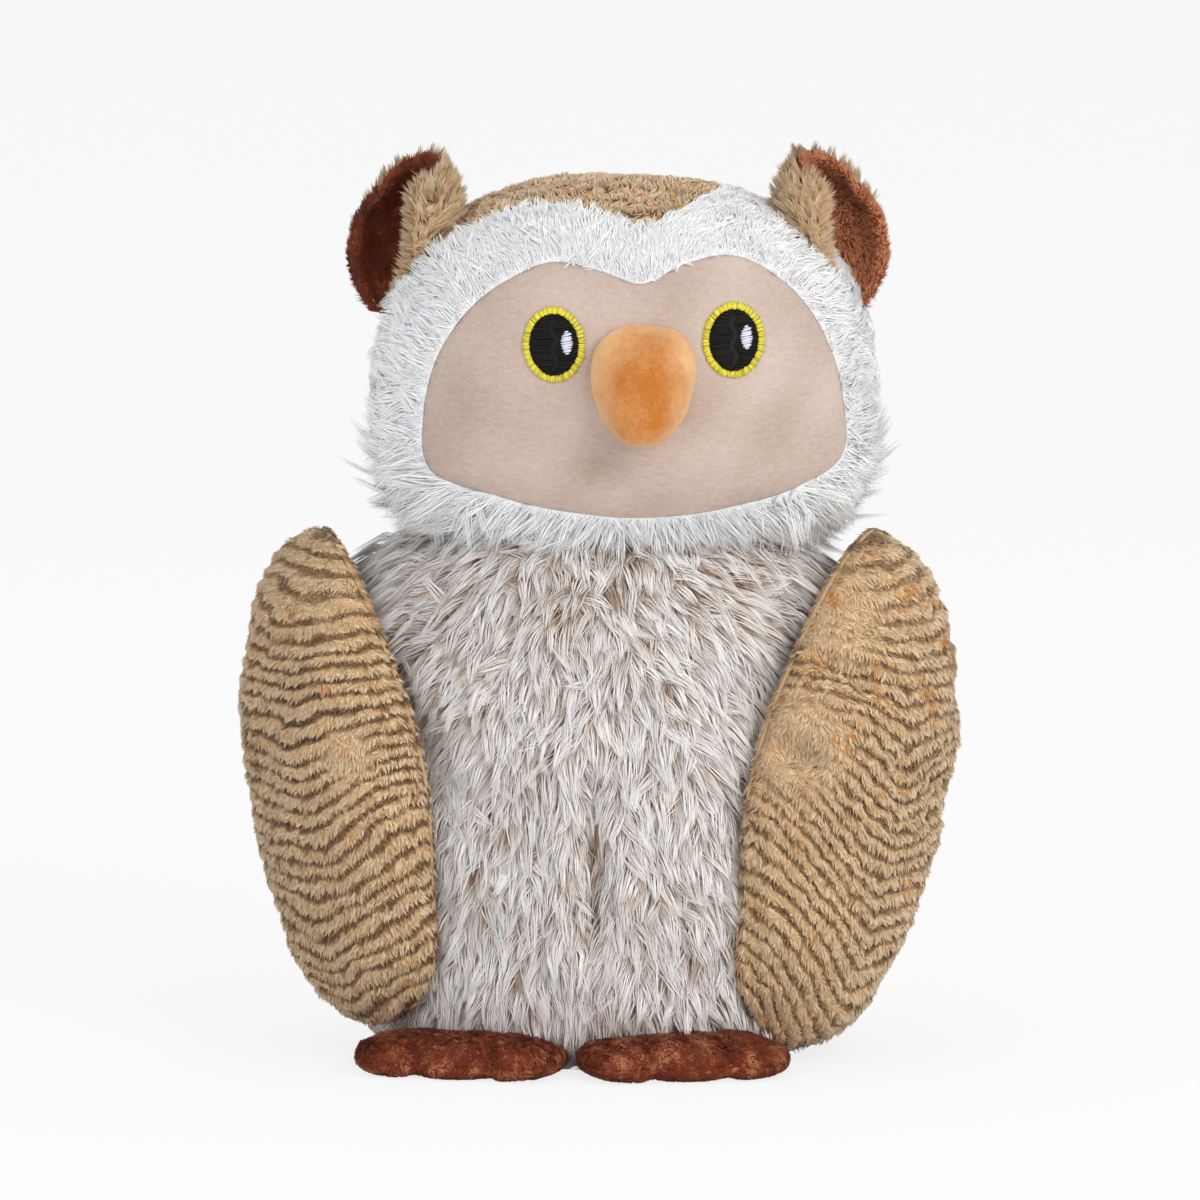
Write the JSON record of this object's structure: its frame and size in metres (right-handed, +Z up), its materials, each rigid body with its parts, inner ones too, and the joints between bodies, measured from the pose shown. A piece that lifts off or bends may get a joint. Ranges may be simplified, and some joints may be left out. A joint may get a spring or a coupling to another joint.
{
  "type": "plush owl",
  "caption": "Sitting plush owl with a flat base, a fur belly and ruff, embroidered eyes, a stuffed beak, cupped ears, and wings and feet that lift at their seams.",
  "frame": {"origin": "on the surface that the owl sits on, under the middle of its box", "axes": "+Z up, the owl faces -Y, +X to the right of someone who faces it"},
  "size_m": [0.2438, 0.1494, 0.314],
  "materials": {
    "long_fur": "long grey-white fur fabric with brown roots, in loose locks",
    "white_fur": "longer white fur fabric, brushed outwards from the face",
    "striped_plush": "short tan plush with thin brown stripes",
    "face_velour": "short pinkish tan velour with a soft nap",
    "beak_velour": "short orange velour",
    "brown_plush": "short chestnut brown plush",
    "yellow_thread": "satin-stitched thread",
    "black_thread": "satin-stitched thread",
    "white_thread": "satin-stitched thread",
    "filling": "loose polyester filling",
    "cotton": "plain cotton bag filled with grain"
  },
  "bodies": {
    "root": {"belly_panel": "long_fur", "back_panel": "striped_plush", "base_panel": "striped_plush", "body_stuffing": "filling", "weight_pouch": "cotton", "face_disc": "face_velour", "face_ruff": "white_fur", "head_back_panel": "striped_plush", "head_stuffing": "filling", "beak_cover": "beak_velour", "beak_stuffing": "filling", "left_iris_ring": "yellow_thread", "left_pupil": "black_thread", "left_eye_glint": "white_thread", "left_ear_back": "striped_plush", "left_ear_lining": "brown_plush", "right_iris_ring": "yellow_thread", "right_pupil": "black_thread", "right_eye_glint": "white_thread", "right_ear_back": "striped_plush", "right_ear_lining": "brown_plush"},
    "left_wing": {"left_wing_outer": "striped_plush", "left_wing_inner": "striped_plush", "left_wing_stuffing": "filling"},
    "right_wing": {"right_wing_outer": "striped_plush", "right_wing_inner": "striped_plush", "right_wing_stuffing": "filling"},
    "left_foot": {"left_foot_top": "brown_plush", "left_foot_sole": "brown_plush", "left_foot_stuffing": "filling"},
    "right_foot": {"right_foot_top": "brown_plush", "right_foot_sole": "brown_plush", "right_foot_stuffing": "filling"}
  },
  "joints": [
    {"name": "left_wing_lift", "type": "hinge", "parent": "root", "child": "left_wing", "pos_m": [-0.07598, 0.01461, 0.175], "axis": [0, 1, 0], "range_deg": [0, 40]},
    {"name": "right_wing_lift", "type": "hinge", "parent": "root", "child": "right_wing", "pos_m": [0.07602, 0.01461, 0.175], "axis": [0, -1, 0], "range_deg": [0, 40]},
    {"name": "left_foot_lift", "type": "hinge", "parent": "root", "child": "left_foot", "pos_m": [-0.04566, -0.03435, 0.015], "axis": [-0.9744, 0.225, 0], "range_deg": [0, 40]},
    {"name": "right_foot_lift", "type": "hinge", "parent": "root", "child": "right_foot", "pos_m": [0.02816, -0.03839, 0.015], "axis": [-0.9877, -0.1564, 0], "range_deg": [0, 40]}
  ]
}
